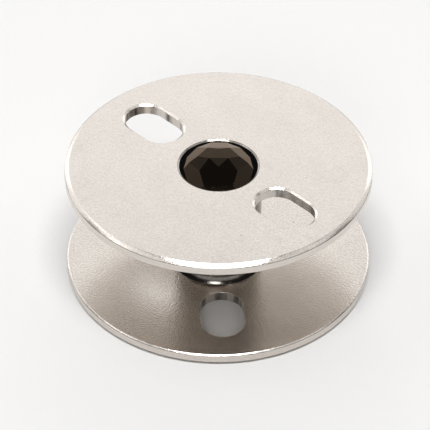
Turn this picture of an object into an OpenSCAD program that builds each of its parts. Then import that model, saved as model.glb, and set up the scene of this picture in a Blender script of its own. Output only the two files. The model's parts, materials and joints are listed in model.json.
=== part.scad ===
// Sewing machine bobbin: two flat slotted flanges staked on a thin hub tube,
// with a black faceted stone bedded in the upper end of the bore.
// Millimetres, +Z up. The origin is on the bore's axis, in the face the bobbin stands on,
// and +X runs along the line through the upper flange's two slots.

/* [Bobbin] */
// Outside diameter of both flanges
flange_d = 25.4; // [20:0.1:27]
// Height over the outer faces of the two flanges
bobbin_h = 10.6; // [8:0.1:12]
// Thickness of each flange
flange_t = 0.95; // [0.6:0.05:1.2]
// Radius of the rounded rim edges
rim_round = 0.3; // [0.1:0.05:0.3]

/* [Hub] */
// Diameter of the bore that runs on the winder spindle
bore_d = 6.1; // [6:0.02:6.12]
// Wall thickness of the hub tube between the flanges
tube_wall = 0.55; // [0.45:0.01:0.7]
// Wall thickness of the thinner tube ends that are staked into the flanges
spigot_wall = 0.35; // [0.3:0.01:0.4]
// How far the hub's rolled foot stands out from the tube
foot_flare = 0.38; // [0.2:0.02:0.6]
// Size of the bevel at each mouth of the bore
mouth_bevel = 0.1; // [0.05:0.01:0.12]

/* [Slots] */
// Length of each slot, end to end
slot_l = 5.45; // [4.5:0.05:6]
// Width of each slot
slot_w = 3.6; // [3:0.05:4]
// Distance between the centres of the two slots of one flange
slot_pitch = 15.3; // [14:0.1:16]
// Size of the bevel round each slot's outer edge
slot_bevel = 0.12; // [0.05:0.01:0.2]
// How far the lower flange is turned about the axis from the upper one
lower_turn = -42; // [-90:1:90]

/* [Stone] */
// Radius of the stone's girdle, to its corners
girdle_r = 2.88; // [2.8:0.01:2.9]
// Diameter of the stone's seat, where the bore is opened out
seat_d = 6.5; // [6.44:0.01:6.5]
// Depth of the stone's seat below the upper face
seat_depth = 2.1; // [1.8:0.1:2.5]
// How far the stone leans in its bed
stone_lean = 12; // [0:1:12]
// Direction of the lean, seen from above
stone_turn = 45; // [0:1:360]
// How far the girdle's centre lies below the upper face
stone_sink = 0.42; // [0.3:0.01:0.6]
// How far the surface of the bed lies below the upper face
bed_sink = 0.85; // [0.7:0.05:1]

/* [Hidden] */
$fn = 96;

flange_r = flange_d / 2;
bore_r = bore_d / 2;
tube_r = bore_r + tube_wall;
spigot_r = bore_r + spigot_wall;
foot_r = tube_r + foot_flare;
seat_r = seat_d / 2;
channel_top = bobbin_h - flange_t;   // underside of the upper flange
overlap = 0.01;                      // cuts run this far past a face

girdle_h = 0.55;                     // height of the stone's side below its crown
girdle_corners = 14;
culet_r = 1.9;                       // flat back of the stone
// Corners of the crown's facets on one side, as [x, y, height above the girdle].
// The stone is mirrored about its YZ plane, and corners with x = 0 lie in that plane.
crown_corners = [
    [0, -0.14, 0.50],      // apex
    [0.79, 0.85, 0.41],    // points of the star, back to front
    [1.58, -0.46, 0.37],
    [1.19, -1.98, 0.20],
    [0, 1.91, 0.28],       // back ring
    [0.91, 2.07, 0.245],
    [1.76, 1.14, 0.235],
    [2.44, 0.56, 0.125],
    [2.35, -0.78, 0.12]    // front shoulder
];

// Flat disc with a rounded rim, outer face up, standing on z = 0
module disc_blank() {
    rotate_extrude() union() {
        square([flange_r - rim_round, flange_t]);
        translate([0, rim_round]) square([flange_r, flange_t - 2 * rim_round]);
        for (z = [rim_round, flange_t - rim_round])
            translate([flange_r - rim_round, z]) circle(rim_round);
    }
}

// Straight-sided slot with round ends, along X
module slot_prism(length, width, depth) {
    reach = (length - width) / 2;
    translate([0, 0, depth / 2]) cube([2 * reach, width, depth], center = true);
    for (side = [-1, 1]) translate([side * reach, 0, 0]) cylinder(d = width, h = depth);
}

// Widening mouth round a slot's outer edge: sloping sides and conical ends, along X
module slot_mouth(length, width) {
    reach = (length - width) / 2;
    grow = slot_bevel + overlap;
    half = width / 2;
    rotate([90, 0, 90]) translate([0, 0, -reach]) linear_extrude(2 * reach)
        polygon([[-half, 0], [half, 0], [half + grow, grow], [-half - grow, grow]]);
    for (side = [-1, 1]) translate([side * reach, 0, 0]) cylinder(r1 = half, r2 = half + grow, h = grow);
}

// Flange with its staking hole and two slots, outer face up, standing on z = 0
module flange() {
    difference() {
        disc_blank();
        translate([0, 0, -overlap]) cylinder(r = spigot_r, h = flange_t + 2 * overlap);
        for (side = [-1, 1]) translate([side * slot_pitch / 2, 0, 0]) {
            translate([0, 0, -overlap]) slot_prism(slot_l, slot_w, flange_t + 2 * overlap);
            translate([0, 0, flange_t - slot_bevel]) slot_mouth(slot_l, slot_w);
        }
    }
}

module upper_flange() {
    color("silver") translate([0, 0, channel_top]) flange();
}

module lower_flange() {
    color("silver") rotate([0, 0, lower_turn]) translate([0, 0, flange_t]) rotate([180, 0, 0]) flange();
}

// One end of the tube: the thin spigot inside a flange, then the rolled foot against the flange
module tube_end() {
    cylinder(r = spigot_r, h = flange_t + overlap);
    translate([0, 0, flange_t]) rotate_extrude() difference() {
        square([foot_r, foot_flare]);
        translate([foot_r, foot_flare]) circle(foot_flare);
    }
}

module hub_tube() {
    color("gainsboro") difference() {
        union() {
            translate([0, 0, flange_t]) cylinder(r = tube_r, h = channel_top - flange_t);
            tube_end();
            translate([0, 0, bobbin_h]) mirror([0, 0, 1]) tube_end();
        }
        translate([0, 0, -overlap]) cylinder(r = bore_r, h = bobbin_h + 2 * overlap);
        translate([0, 0, bobbin_h - seat_depth]) cylinder(r = seat_r, h = seat_depth + overlap);
        translate([0, 0, -overlap])
            cylinder(r1 = bore_r + mouth_bevel + overlap, r2 = bore_r, h = mouth_bevel + overlap);
        translate([0, 0, bobbin_h - mouth_bevel])
            cylinder(r1 = seat_r, r2 = seat_r + mouth_bevel + overlap, h = mouth_bevel + overlap);
    }
}

// Corners of a regular ring that has a flat side at the back
function corner_ring(r, z, n) =
    [for (i = [0:n - 1]) let (a = 90 + 360 * (i + 0.5) / n) [r * cos(a), r * sin(a), z]];

// The stone in its own frame: girdle in z = 0, crown above, tapering side below.
// It is the tightest convex shape round all of its corners.
module stone() {
    corners = concat(
        crown_corners,
        [for (c = crown_corners) if (c[0] > 0) [-c[0], c[1], c[2]]],
        corner_ring(girdle_r, 0, girdle_corners),
        corner_ring(culet_r, -girdle_h, girdle_corners)
    );
    hull() polyhedron(points = corners, faces = [[for (i = [0:len(corners) - 1]) i]]);
}

module jewel() {
    color("black") translate([0, 0, bobbin_h - stone_sink])
        rotate([0, 0, stone_turn]) rotate([stone_lean, 0, 0]) stone();
}

// Black cement that fills the seat round and under the stone
module jewel_bed() {
    color("dimgray") difference() {
        translate([0, 0, bobbin_h - seat_depth]) cylinder(r = seat_r, h = seat_depth - bed_sink);
        jewel();
    }
}

upper_flange();
lower_flange();
hub_tube();
jewel_bed();
jewel();
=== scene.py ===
"""Looks of the sewing machine bobbin: satin nickel flanges on a hub tube, with a black faceted
stone cemented into the upper end of the bore.

Lengths are in metres. The view frame has its origin at the bobbin's, x to the camera's right,
y away from the camera and z up. The row frame is the view frame turned about z.
"""

import json
import math

import bpy
from mathutils import Matrix, Vector
from mathutils.geometry import delaunay_2d_cdt


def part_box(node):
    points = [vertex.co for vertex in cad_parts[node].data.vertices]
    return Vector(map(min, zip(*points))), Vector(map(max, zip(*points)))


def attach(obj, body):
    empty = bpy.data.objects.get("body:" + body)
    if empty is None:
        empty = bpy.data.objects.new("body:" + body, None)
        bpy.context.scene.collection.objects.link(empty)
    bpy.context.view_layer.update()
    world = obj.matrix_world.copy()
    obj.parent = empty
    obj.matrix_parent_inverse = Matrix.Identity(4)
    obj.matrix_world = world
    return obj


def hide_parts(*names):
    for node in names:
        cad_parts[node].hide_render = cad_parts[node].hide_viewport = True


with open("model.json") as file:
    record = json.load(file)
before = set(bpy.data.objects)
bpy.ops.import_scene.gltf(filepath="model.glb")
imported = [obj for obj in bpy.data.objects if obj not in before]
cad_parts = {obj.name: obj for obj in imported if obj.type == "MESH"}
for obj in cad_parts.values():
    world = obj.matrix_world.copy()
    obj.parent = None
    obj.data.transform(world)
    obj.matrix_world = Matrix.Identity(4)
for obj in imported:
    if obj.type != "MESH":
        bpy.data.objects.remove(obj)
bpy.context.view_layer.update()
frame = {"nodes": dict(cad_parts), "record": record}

MM = 0.001
BODY = "root"
MOUNT_SIZES = {mount["name"]: mount["dims"] for mount in frame["record"]["mounts"]}

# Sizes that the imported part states
UPPER_LOW, UPPER_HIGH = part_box("upper_flange")
BED_LOW, BED_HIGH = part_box("jewel_bed")
FLANGE_R = UPPER_HIGH.x
FLANGE_T = UPPER_HIGH.z - UPPER_LOW.z
TOP_Z = UPPER_HIGH.z
FOOT_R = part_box("hub_tube")[1].x
SEAT_R = BED_HIGH.x
SEAT_LOW = BED_LOW.z
BORE_R = MOUNT_SIZES["spindle_bore"]["r_mm"] * MM
SLOT_R = MOUNT_SIZES["drive_slots"]["hole_r_mm"] * MM
SLOT_L = MOUNT_SIZES["drive_slots"]["slot_length_mm"] * MM
SLOT_PITCH = MOUNT_SIZES["drive_slots"]["spacing_x_mm"] * MM

# Sizes that only the shapes below need
LOWER_TURN = math.radians(-42)
RIM_CREASE = 30                       # degrees between a flat face and the start of the rim
RIM_TURN = 53                         # elevation of the normal where the tighter curve begins
RIM_OUTER_R = 3.4 * MM                # shallow first curve of the rim, at the outer face
RIM_INNER_R = 1.0 * MM                # the same, at the inner face
RIM_CORNER_R = 0.08 * MM              # tighter second curve, down to the rim's side
BEVEL_SLOPE = 36                      # degrees between a flat face and a bevel
SLOT_MOUTH_BEVEL = 0.18 * MM          # width of the bevel round a slot's outer edge
SLOT_FOOT_ROUND = 0.05 * MM           # radius of a slot's inner edge
SPIGOT_R = 3.4 * MM
SPIGOT_FIT = 0.02 * MM                # radius of the edges of the staking hole
BORE_MOUTH_BEVEL = 0.12 * MM
BORE_FOOT_ROUND = 0.1 * MM
SOFT_CORNER = 0.02 * MM               # radius where a bevel meets another face
FOOT_FLARE = 0.38 * MM                # how far the hub's foot stands out from the tube
FOOT_SLOPE = 43                       # degrees from the tube's side to the edge of its foot
STONE_LEAN = math.radians(12)
STONE_BACK = math.radians(135)        # direction of the stone's raised side, in the row frame
STONE_SINK = 0.42 * MM
CULET_R = 1.9 * MM
CULET_DROP = 0.55 * MM
BED_FIT = 0.002 * MM                  # between the cement and the wall of its seat
BED_INNER_R = 2.745 * MM              # where the cement meets the stone
BED_INNER_DROP = 0.12 * MM            # the same place, below the plane of the girdle
BED_EDGE_DROP = 0.12 * MM             # from the upper face down to the cement's outer edge, set high so that the black cement paints the shade in the gap round the stone
BED_RIPPLE = 0.015 * MM
CULET_GAP = 0.03 * MM                 # between the culet and the cement's own middle face

# Fineness of the meshes
RIM_POINTS = 360
HUB_POINTS = 160
BED_POINTS = 120
SLOT_END_STEPS = 40
FACE_SPACING = 0.7 * MM               # between the points inside a flat face
FACE_MARGIN = 0.35 * MM               # from those points to the edges of the face

# Looks
NICKEL_TONE = (0.71, 0.66, 0.61)
HUB_TONE = (0.32, 0.295, 0.265)
RIM_ZONE = 1 * MM                     # width of the rim, where no wall has shear marks

# Camera, in the view frame
VIEW_TURN = math.radians(45)          # view frame to row frame, about z
CAMERA_ELEVATION = math.radians(39.6)
CAMERA_DISTANCE = 290 * MM            # from the centre of the upper face
CAMERA_SENSOR = 36
CAMERA_LENS = 294.8
CAMERA_AIM = Vector((-0.27, 0, 5.2)) * MM
CAMERA_ROLL = math.radians(0.29)
LAMP_DISTANCE = 0.8                   # from the bobbin to the standing lamps
FLOOR_HALF = 1.5


# ---------------------------------------------------------------- camera and light

def to_row(point):
    """A point or direction of the view frame, in the row frame."""
    return Matrix.Rotation(VIEW_TURN, 3, "Z") @ Vector(point)


def direction(azimuth, elevation):
    """Unit vector in the row frame; azimuth 0 is towards the camera, and positive is to its right."""
    a, e = math.radians(azimuth), math.radians(elevation)
    return to_row((math.sin(a) * math.cos(e), -math.cos(a) * math.cos(e), math.sin(e)))


def facing(location, target, roll=0.0):
    """World matrix of a camera or lamp at location whose -Z axis points at target."""
    turn = (target - location).to_track_quat("-Z", "Y").to_matrix().to_4x4()
    return Matrix.Translation(location) @ turn @ Matrix.Rotation(roll, 4, "Z")


def add_camera():
    data = bpy.data.cameras.new("camera")
    data.sensor_width = CAMERA_SENSOR
    data.lens = CAMERA_LENS
    data.clip_start = 0.01
    data.clip_end = 20
    camera = bpy.data.objects.new("camera", data)
    bpy.context.scene.collection.objects.link(camera)
    towards_camera = (0, -math.cos(CAMERA_ELEVATION), math.sin(CAMERA_ELEVATION))
    location = Vector((0, 0, TOP_Z)) + to_row(towards_camera) * CAMERA_DISTANCE
    camera.matrix_world = facing(location, to_row(CAMERA_AIM), CAMERA_ROLL)
    bpy.context.scene.camera = camera


def soft_light(name, matrix, width, height, radiance):
    """White rectangular lamp with the same brightness all over."""
    data = bpy.data.lights.new(name, "AREA")
    data.shape = "RECTANGLE"
    data.size = width
    data.size_y = height
    data.energy = radiance * math.pi * width * height
    lamp = bpy.data.objects.new(name, data)
    bpy.context.scene.collection.objects.link(lamp)
    lamp.matrix_world = matrix


def overhead(x, y, height):
    """Place of a lamp that faces straight down over a point of the view frame."""
    turn = Matrix.Rotation(VIEW_TURN, 4, "Z")
    return turn @ Matrix.Translation((x, y, height))


def band_light(name, azimuth, low, high, half_width, radiance):
    """Standing lamp that fills the elevations low..high, half_width degrees to each side of azimuth."""
    height = 2 * LAMP_DISTANCE * math.tan(math.radians(high - low) / 2)
    width = 2 * LAMP_DISTANCE * math.tan(math.radians(half_width))
    place = facing(direction(azimuth, (low + high) / 2) * LAMP_DISTANCE, Vector((0, 0, 0)))
    soft_light(name, place, width, height, radiance)


def add_lights():
    soft_light("top_light", overhead(0, -0.165, 0.7), 0.38, 0.21, 14.6)
    # Name, azimuth, lowest and highest elevation, half width (all in degrees) and radiance
    bands = (
        ("front_lamp", -7, 25, 38, 10, 5.5),
        ("front_card", 0, 1, 16, 50, 0.5),
        ("left_card", -98, 42, 52, 17, 1.9),
        ("right_card", 98, 42, 52, 17, 0.9),
        ("left_high_card", -72, 51, 62, 13, 1.1),
        ("right_high_card", 72, 51, 62, 13, 0.9),
        ("left_wing", -124, 16, 42, 12, 1.2),
        ("right_wing", 124, 16, 42, 12, 0.9),
        ("left_fill", -118, 50, 72, 19, 0.25),
        ("right_fill", 118, 50, 72, 19, 0.19),
        ("back_card_low", 180, 1, 33, 44, 1.7),
        ("back_card_middle", 180, 33, 47, 40, 1.2),
        ("back_card_high", 180, 47, 51, 38, 0.4),
        ("back_card_top", 180, 51, 57, 38, 0.15),
    )
    for band in bands:
        band_light(*band)
    world = bpy.data.worlds.new("studio")
    world.use_nodes = True
    background = world.node_tree.nodes["Background"]
    background.inputs["Color"].default_value = (1, 0.96, 0.9, 1)
    background.inputs["Strength"].default_value = 0.02
    bpy.context.scene.world = world


# ---------------------------------------------------------------- materials

class Shader:
    """A node material under construction."""

    def __init__(self, name):
        self.material = bpy.data.materials.new(name)
        self.material.use_nodes = True
        self.nodes = self.material.node_tree.nodes
        self.links = self.material.node_tree.links
        self.surface = self.nodes["Principled BSDF"]

    def add(self, kind, **settings):
        node = self.nodes.new(kind)
        for key, value in settings.items():
            setattr(node, key, value)
        return node

    def place(self, stretch=(1, 1, 1)):
        """Position on the piece in metres, scaled along each axis."""
        node = self.add("ShaderNodeMapping")
        node.inputs["Scale"].default_value = stretch
        self.links.new(self.add("ShaderNodeTexCoord").outputs["Object"], node.inputs["Vector"])
        return node.outputs["Vector"]

    def noise(self, size, detail=3.0, roughness=0.5, stretch=(1, 1, 1)):
        """Noise whose features are about size metres across, from 0 to 1."""
        node = self.add("ShaderNodeTexNoise")
        node.inputs["Scale"].default_value = 1 / size
        node.inputs["Detail"].default_value = detail
        node.inputs["Roughness"].default_value = roughness
        self.links.new(self.place(stretch), node.inputs["Vector"])
        return node.outputs["Fac"]

    def dots(self, spacing, size, share):
        """1 inside small dots, about spacing metres apart, on a share of the cells."""
        node = self.add("ShaderNodeTexVoronoi")
        node.inputs["Scale"].default_value = 1 / spacing
        self.links.new(self.place(), node.inputs["Vector"])
        near = self.ramp(node.outputs["Distance"], size / spacing, 0.6 * size / spacing)
        split = self.add("ShaderNodeSeparateColor")
        self.links.new(node.outputs["Color"], split.inputs["Color"])
        chosen = self.math("LESS_THAN", split.outputs["Red"], share)
        return self.math("MULTIPLY", near, chosen)

    def walls(self):
        """1 on upright walls that lie well inside the rim, and 0 elsewhere."""
        radius = self.add("ShaderNodeVectorMath", operation="LENGTH")
        self.links.new(self.place((1, 1, 0)), radius.inputs[0])
        inside = self.math("LESS_THAN", radius.outputs["Value"], FLANGE_R - RIM_ZONE)
        parts = self.add("ShaderNodeSeparateXYZ")
        self.links.new(self.add("ShaderNodeNewGeometry").outputs["Normal"], parts.inputs["Vector"])
        upright = self.ramp(self.math("ABSOLUTE", parts.outputs["Z"], 0.0), 0.5, 0.3)
        return self.math("MULTIPLY", inside, upright)

    def math(self, operation, first, second):
        node = self.add("ShaderNodeMath", operation=operation)
        for socket, value in zip(node.inputs, (first, second)):
            if isinstance(value, bpy.types.NodeSocket):
                self.links.new(value, socket)
            else:
                socket.default_value = value
        return node.outputs["Value"]

    def ramp(self, value, low, high, out_low=0.0, out_high=1.0):
        """Carries value from the range low..high to out_low..out_high, clamped."""
        node = self.add("ShaderNodeMapRange")
        node.inputs["From Min"].default_value = low
        node.inputs["From Max"].default_value = high
        node.inputs["To Min"].default_value = out_low
        node.inputs["To Max"].default_value = out_high
        self.links.new(value, node.inputs["Value"])
        return node.outputs["Result"]

    def blend(self, factor, first, second):
        """Colour between first and second."""
        node = self.add("ShaderNodeMix", data_type="RGBA")
        for socket, colour in ((node.inputs[6], first), (node.inputs[7], second)):
            if isinstance(colour, tuple):
                socket.default_value = (*colour, 1)
            else:
                self.links.new(colour, socket)
        self.links.new(factor, node.inputs[0])
        return node.outputs[2]

    def bump(self, height, depth, below=None):
        """Bump whose full height is depth metres."""
        node = self.add("ShaderNodeBump")
        node.inputs["Distance"].default_value = depth
        self.links.new(height, node.inputs["Height"])
        if below is not None:
            self.links.new(below, node.inputs["Normal"])
        return node.outputs["Normal"]

    def set(self, **values):
        for key, value in values.items():
            socket = self.surface.inputs[key.replace("_", " ")]
            if isinstance(value, bpy.types.NodeSocket):
                self.links.new(value, socket)
            else:
                socket.default_value = (*value, 1) if isinstance(value, tuple) else value


def dim(colour, share):
    return tuple(share * part for part in colour)


def nickel(name, tone, roughness, grain_depth, grain_contrast, sheared=True):
    """Nickel plate: fine grain, cloudy tone, faint smudges and a few dark specks.

    If it is sheared, the walls of its holes are rougher and show dark upright marks.
    """
    shader = Shader(name)
    grain = shader.noise(0.16 * MM, detail=2.0, roughness=0.6)
    clouds = shader.ramp(shader.noise(3.0 * MM, detail=4.0), 0.35, 0.65)
    smudges = shader.noise(1.6 * MM, detail=5.0, roughness=0.65)
    smudges = shader.ramp(smudges, 0.56, 0.8, out_high=0.6)
    specks = shader.dots(spacing=1.5 * MM, size=0.075 * MM, share=0.16)
    dark_grain = shader.ramp(grain, 0.4, 0.62, out_high=grain_contrast)
    colour = shader.blend(clouds, dim(tone, 0.96), tone)
    colour = shader.blend(smudges, colour, dim(tone, 0.86))
    colour = shader.blend(specks, colour, dim(tone, 0.45))
    colour = shader.blend(dark_grain, colour, (0, 0, 0))
    gloss = shader.ramp(grain, 0.3, 0.7, roughness - 0.05, roughness + 0.05)
    if sheared:
        walls = shader.walls()
        marks = shader.noise(0.9 * MM, detail=2.5, stretch=(1, 1, 0.1))
        marked = shader.math("MULTIPLY", walls, shader.ramp(marks, 0.48, 0.62))
        colour = shader.blend(marked, colour, dim(tone, 0.22))
        gloss = shader.math("ADD", gloss, shader.math("MULTIPLY", walls, 0.2))
    shader.set(
        Base_Color=colour,
        Metallic=1.0,
        Roughness=gloss,
        Normal=shader.bump(grain, grain_depth),
    )
    return shader.material


def black_stone():
    shader = Shader("black_stone")
    dust = shader.dots(spacing=0.5 * MM, size=0.03 * MM, share=0.12)
    haze = shader.noise(0.4 * MM)
    shader.set(
        Base_Color=shader.blend(dust, (0.003, 0.0025, 0.002), (0.12, 0.10, 0.08)),
        Roughness=shader.ramp(haze, 0.3, 0.7, 0.04, 0.08),
        IOR=2.0,
        Specular_Tint=(1.0, 0.72, 0.5),
    )
    return shader.material


def cement():
    # Near-black cement; where it stands high at the lip of the bore, its black is also painted shade
    # for the gap round the stone.
    shader = Shader("cement")
    grain = shader.noise(0.15 * MM)
    dust = shader.dots(spacing=0.6 * MM, size=0.03 * MM, share=0.15)
    colour = shader.blend(grain, (0.001, 0.001, 0.001), (0.004, 0.003, 0.003))
    shader.set(
        Base_Color=shader.blend(dust, colour, (0.12, 0.09, 0.07)),
        Roughness=0.8,
        Specular_IOR_Level=0.03,
        Normal=shader.bump(grain, 0.02 * MM),
    )
    return shader.material


def paper():
    shader = Shader("paper")
    fibres = shader.noise(0.25 * MM, detail=4.0)
    shader.set(
        Base_Color=shader.blend(fibres, (0.83, 0.825, 0.82), (0.85, 0.845, 0.84)),
        Roughness=0.9,
        Normal=shader.bump(fibres, 0.01 * MM),
    )
    return shader.material


# ---------------------------------------------------------------- shapes

class Surface:
    """A mesh under construction: curved faces take their points' normals, flat ones have their own."""

    def __init__(self):
        self.points = []
        self.normals = []
        self.faces = []
        self.flat = {}                # number of a flat face: its normal

    def loop(self, points, normals):
        start = len(self.points)
        self.points += points
        self.normals += normals
        return list(range(start, len(self.points)))

    def bridge(self, upper, lower):
        for i, a in enumerate(upper):
            j = (i + 1) % len(upper)
            self.faces.append((a, lower[i], lower[j], upper[j]))

    def piece(self, name, material, matrix=Matrix.Identity(4)):
        """The finished object, which rides on the bobbin's one body."""
        turn = matrix.to_3x3()
        mesh = bpy.data.meshes.new(name)
        mesh.from_pydata([matrix @ Vector(p) for p in self.points], [], self.faces)
        mesh.shade_smooth()
        corners = []
        for i, face in enumerate(self.faces):
            corners += [turn @ Vector(self.flat.get(i, self.normals[v])) for v in face]
        mesh.normals_split_custom_set(corners)
        mesh.materials.append(material)
        piece = bpy.data.objects.new(name, mesh)
        bpy.context.scene.collection.objects.link(piece)
        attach(piece, BODY)
        return piece


def arc(centre, radius, start, stop, steps, hollow=False):
    """Profile points (offset, z, normal offset, normal z) along an arc, with its angles in degrees."""
    side = -1 if hollow else 1
    points = []
    for i in range(steps + 1):
        angle = math.radians(start + (stop - start) * i / steps)
        c, s = math.cos(angle), math.sin(angle)
        points.append((centre[0] + radius * c, centre[1] + radius * s, side * c, side * s))
    return points


def circle(radius, count):
    """Outline points (x, y, normal x, normal y) round a disc, counterclockwise."""
    points = []
    for i in range(count):
        angle = 2 * math.pi * i / count
        c, s = math.cos(angle), math.sin(angle)
        points.append((radius * c, radius * s, c, s))
    return points


def hole(outline):
    """The same outline as the edge of a hole: clockwise, with its normals inwards."""
    return [(x, y, -nx, -ny) for x, y, nx, ny in reversed(outline)]


def slot_outline(centre_x, steps):
    """Outline of a slot along x, with steps points round each end."""
    reach = SLOT_L / 2 - SLOT_R
    points = []
    for side, start in ((1, -90), (-1, 90)):
        for i in range(steps + 1):
            angle = math.radians(start + 180 * i / steps)
            c, s = math.cos(angle), math.sin(angle)
            points.append((centre_x + side * reach + SLOT_R * c, SLOT_R * s, c, s))
    return points


def add_wall(surface, outline, profile):
    """Sweeps the profile along the outline, and returns its first and last loops."""
    loops = []
    for offset, z, across, up in profile:
        points = [(x + nx * offset, y + ny * offset, z) for x, y, nx, ny in outline]
        normals = [(nx * across, ny * across, up) for x, y, nx, ny in outline]
        loops.append(surface.loop(points, normals))
    for upper, lower in zip(loops, loops[1:]):
        surface.bridge(upper, lower)
    return loops[0], loops[-1]


def turn_on(profile, radius, finish, steps):
    """The profile, carried on smoothly by an arc that ends with its normal at finish degrees."""
    x, z, nx, nz = profile[-1]
    centre = (x - radius * nx, z - radius * nz)
    start = math.degrees(math.atan2(nz, nx))
    return profile + arc(centre, radius, start, finish, steps)[1:]


def bevel(edge, height, width):
    """Profile of a bevel between a top face at height and an edge, with soft corners."""
    slope = math.radians(BEVEL_SLOPE)
    steep = math.radians(90 - BEVEL_SLOPE)
    top = (edge - width - SOFT_CORNER * math.tan(slope / 2), height - SOFT_CORNER)
    drop = width * math.tan(slope) + SOFT_CORNER * math.tan(steep / 2)
    foot = (edge - SOFT_CORNER, height - drop)
    upper = arc(top, SOFT_CORNER, 90, 90 - BEVEL_SLOPE, 3)
    return upper + arc(foot, SOFT_CORNER, 90 - BEVEL_SLOPE, 0, 3)


def rim_edge(shallow_r):
    """Profile of the rim's upper half, from the crease round a flat face at z = 0 to its side."""
    start = math.radians(90 - RIM_CREASE)
    profile = turn_on([(0, 0, math.cos(start), math.sin(start))], shallow_r, RIM_TURN, 6)
    profile = turn_on(profile, RIM_CORNER_R, 0, 6)
    return [(x - profile[-1][0], z, nx, nz) for x, z, nx, nz in profile]


def rim_profile():
    """Profile of the rim, down from the top face to z = 0."""
    outer = [(x, FLANGE_T + z, nx, nz) for x, z, nx, nz in rim_edge(RIM_OUTER_R)]
    return outer + [(x, -z, nx, -nz) for x, z, nx, nz in reversed(rim_edge(RIM_INNER_R))]


def hole_profile(mouth, foot_round):
    """Profile of a hole's wall, from its mouth at the top face to a rounded foot."""
    return mouth + arc((-foot_round, foot_round), foot_round, 0, -90, 4)


def in_flange(x, y, insets, margin=0.0):
    """Whether a point lies in a flat face that ends at these insets from the rim, bore and slots."""
    rim, bore, slot = insets
    radius = math.hypot(x, y)
    along = max(abs(abs(x) - SLOT_PITCH / 2) - (SLOT_L / 2 - SLOT_R), 0)
    clear_of_slots = math.hypot(along, y) > SLOT_R + slot + margin
    return clear_of_slots and SPIGOT_R + bore + margin < radius < FLANGE_R - rim - margin


def add_face(surface, loops, insets, z, up):
    """Fills the flat face between the loops, with rings of points inside it."""
    indices = [i for loop in loops for i in loop]
    flat = [Vector(surface.points[i][:2]) for i in indices]
    edges = []
    start = 0
    for loop in loops:
        edges += [(start + i, start + (i + 1) % len(loop)) for i in range(len(loop))]
        start += len(loop)
    inner = []
    for ring in range(1, int(FLANGE_R / FACE_SPACING) + 1):
        for x, y, _, _ in circle(ring * FACE_SPACING, 6 * ring):
            if in_flange(x, y, insets, FACE_MARGIN):
                inner.append((x, y))
    indices += surface.loop([(x, y, z) for x, y in inner], [(0, 0, up)] * len(inner))
    flat += [Vector(point) for point in inner]
    scale = 10 / MM                   # the triangulation works in tenths of a millimetre
    tolerance = 1e-6
    made = delaunay_2d_cdt([scale * p for p in flat], edges, [], 0, tolerance)
    triangles, sources = made[2:4]
    for triangle in triangles:
        corners = [sources[i][0] for i in triangle]
        middle = sum((flat[i] for i in corners), Vector((0, 0))) / 3
        if in_flange(middle.x, middle.y, insets):
            face = [indices[i] for i in corners]
            surface.flat[len(surface.faces)] = (0, 0, up)
            surface.faces.append(tuple(face if up > 0 else reversed(face)))


def flange():
    """A flange with its outer face up, standing on z = 0."""
    surface = Surface()
    rim = rim_profile()
    fit = arc((-SPIGOT_FIT, FLANGE_T - SPIGOT_FIT), SPIGOT_FIT, 90, 0, 3)
    bore = hole_profile(fit, SPIGOT_FIT)
    slot = hole_profile(bevel(0, FLANGE_T, SLOT_MOUTH_BEVEL), SLOT_FOOT_ROUND)
    walls = [add_wall(surface, circle(FLANGE_R, RIM_POINTS), rim)]
    walls.append(add_wall(surface, hole(circle(SPIGOT_R, HUB_POINTS)), bore))
    for side in (-1, 1):
        outline = slot_outline(side * SLOT_PITCH / 2, SLOT_END_STEPS)
        walls.append(add_wall(surface, hole(outline), slot))
    outer = [-profile[0][0] for profile in (rim, bore, slot)]
    inner = [-profile[-1][0] for profile in (rim, bore, slot)]
    add_face(surface, [top for top, foot in walls], outer, FLANGE_T, 1)
    add_face(surface, [foot for top, foot in walls], inner, 0, -1)
    return surface


def add_flanges():
    upper_nickel = nickel("upper_nickel", NICKEL_TONE, 0.22, 0.006 * MM, 0.04)
    lower_nickel = nickel("lower_nickel", NICKEL_TONE, 0.21, 0.012 * MM, 0.1)
    raised = Matrix.Translation((0, 0, TOP_Z - FLANGE_T))
    upper = flange().piece("upper_flange_plate", upper_nickel, raised)
    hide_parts("upper_flange")
    flipped = Matrix.Translation((0, 0, FLANGE_T)) @ Matrix.Rotation(math.pi, 4, "X")
    flipped = Matrix.Rotation(LOWER_TURN, 4, "Z") @ flipped
    lower = flange().piece("lower_flange_plate", lower_nickel, flipped)
    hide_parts("lower_flange")


def hub_profile():
    """Closed section of the hub tube, down its outside and up its bore."""
    under = TOP_Z - FLANGE_T
    radius = FOOT_FLARE / (1 - math.cos(math.radians(FOOT_SLOPE)))
    centre_x = FOOT_R - FOOT_FLARE + radius
    rise = radius * math.sin(math.radians(FOOT_SLOPE))
    mouth = reversed(bevel(-SEAT_R, TOP_Z, BORE_MOUTH_BEVEL))
    outside = [(SPIGOT_R, TOP_Z, 0, 1), (SPIGOT_R, under, 1, 0)]
    outside += arc((centre_x, under - rise), radius, 180 - FOOT_SLOPE, 180, 10, hollow=True)
    outside += arc((centre_x, FLANGE_T + rise), radius, 180, 180 + FOOT_SLOPE, 10, hollow=True)
    outside += [(SPIGOT_R, FLANGE_T, 1, 0), (SPIGOT_R, 0, 0, -1)]
    inside = arc((BORE_R + BORE_FOOT_ROUND, BORE_FOOT_ROUND), BORE_FOOT_ROUND, 270, 180, 5)
    inside += [(BORE_R, SEAT_LOW, -1, 0), (SEAT_R, SEAT_LOW, -1, 0)]
    inside += [(-x, z, -nx, nz) for x, z, nx, nz in mouth]
    return outside + inside


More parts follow.
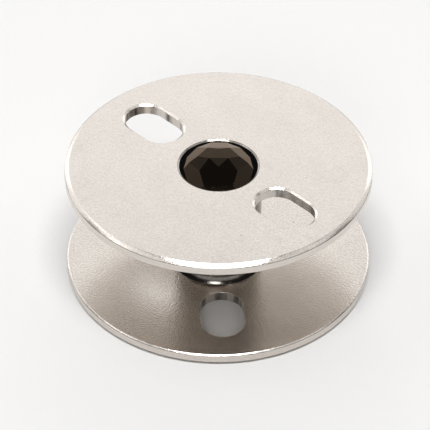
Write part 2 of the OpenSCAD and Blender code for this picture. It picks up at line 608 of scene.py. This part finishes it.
def add_hub():
    surface = Surface()
    axis = [(0, 0, nx, ny) for _, _, nx, ny in circle(1, HUB_POINTS)]
    first, last = add_wall(surface, axis, hub_profile())
    surface.bridge(last, first)
    steel = nickel("hub_steel", HUB_TONE, 0.18, 0.005 * MM, 0.1, sheared=False)
    hub = surface.piece("hub_sleeve", steel)
    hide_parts("hub_tube")


def add_bed():
    """Black cement that climbs from the stone's girdle to the lip of the bore. It is raised this high
    so that its black fills the narrow gap round the stone, where shade falls: painted shade as well as
    cement.
    """
    surface = Surface()
    wall_r = SEAT_R - BED_FIT

    def ring(radius, height):
        points = []
        for x, y, _, _ in circle(radius, BED_POINTS):
            points.append((x, y, height(math.atan2(y, x))))
        return surface.loop(points, [(0, 0, 1)] * BED_POINTS)

    def leaning(radius, drop):
        rise = radius * math.sin(STONE_LEAN)
        return lambda angle: TOP_Z - STONE_SINK - drop + rise * math.cos(angle - STONE_BACK)

    def uneven(angle):
        return TOP_Z - BED_EDGE_DROP + BED_RIPPLE * (math.sin(5 * angle) + math.sin(11 * angle + 1))

    loops = [ring(wall_r, lambda angle: SEAT_LOW)]
    steps = 8
    low = leaning(BED_INNER_R, BED_INNER_DROP)
    for i in range(steps + 1):
        share = i / steps
        bend = (1 - share) ** 2.5
        height = lambda angle, bend=bend: low(angle) + (uneven(angle) - low(angle)) * bend
        loops.append(ring(wall_r + (BED_INNER_R - wall_r) * share, height))
    loops.append(ring(CULET_R, leaning(CULET_R, CULET_DROP + CULET_GAP)))
    for outer, inner in zip(loops, loops[1:]):
        surface.bridge(inner, outer)
    surface.faces.append(tuple(loops[-1]))
    surface.faces.append(tuple(reversed(loops[0])))
    bed = surface.piece("cement_bed", cement())
    bed.data.normals_split_custom_set([(0, 0, 0)] * len(bed.data.loops))
    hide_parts("jewel_bed")


def dress_jewel():
    jewel = frame["nodes"]["jewel"]
    jewel.data.materials.clear()
    jewel.data.materials.append(black_stone())


def add_floor():
    far = FLOOR_HALF
    mesh = bpy.data.meshes.new("floor")
    corners = [(-far, -far, 0), (far, -far, 0), (far, far, 0), (-far, far, 0)]
    mesh.from_pydata(corners, [], [(0, 1, 2, 3)])
    mesh.materials.append(paper())
    floor = bpy.data.objects.new("floor", mesh)
    bpy.context.scene.collection.objects.link(floor)


add_camera()
add_lights()
add_floor()
add_flanges()
add_hub()
add_bed()
dress_jewel()
bpy.context.scene.view_settings.view_transform = "Standard"
